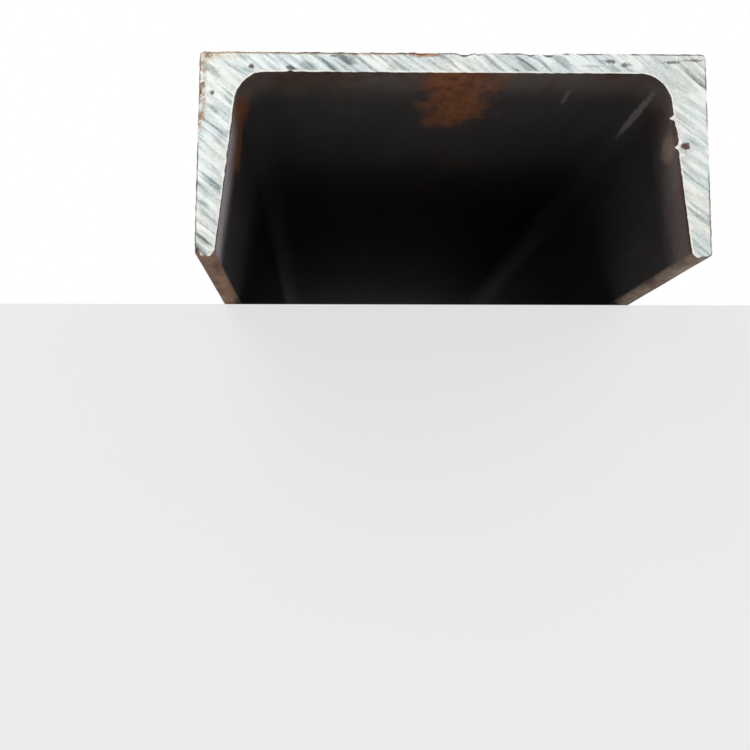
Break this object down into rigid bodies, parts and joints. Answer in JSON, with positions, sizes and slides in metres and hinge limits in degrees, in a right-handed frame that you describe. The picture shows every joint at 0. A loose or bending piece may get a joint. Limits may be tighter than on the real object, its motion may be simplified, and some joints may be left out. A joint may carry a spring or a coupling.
{
  "type": "steel channel",
  "caption": "Length of hot-rolled steel channel: a web with a tapered flange along each edge, sawn square at both ends.",
  "frame": {"origin": "on the ground plane under the middle of the bar: halfway along it, midway between the flanges, level with the toes", "axes": "+Y along the bar, +Z from the toes to the back of the web, +X across the web from one flange to the other"},
  "size_m": [0.1628, 1, 0.065],
  "materials": {
    "hot_rolled_steel": "dark mill scale with patches of light rust on the rolled faces, and bare saw-cut steel on both ends"
  },
  "bodies": {
    "root": {"channel": "hot_rolled_steel"}
  },
  "joints": []
}
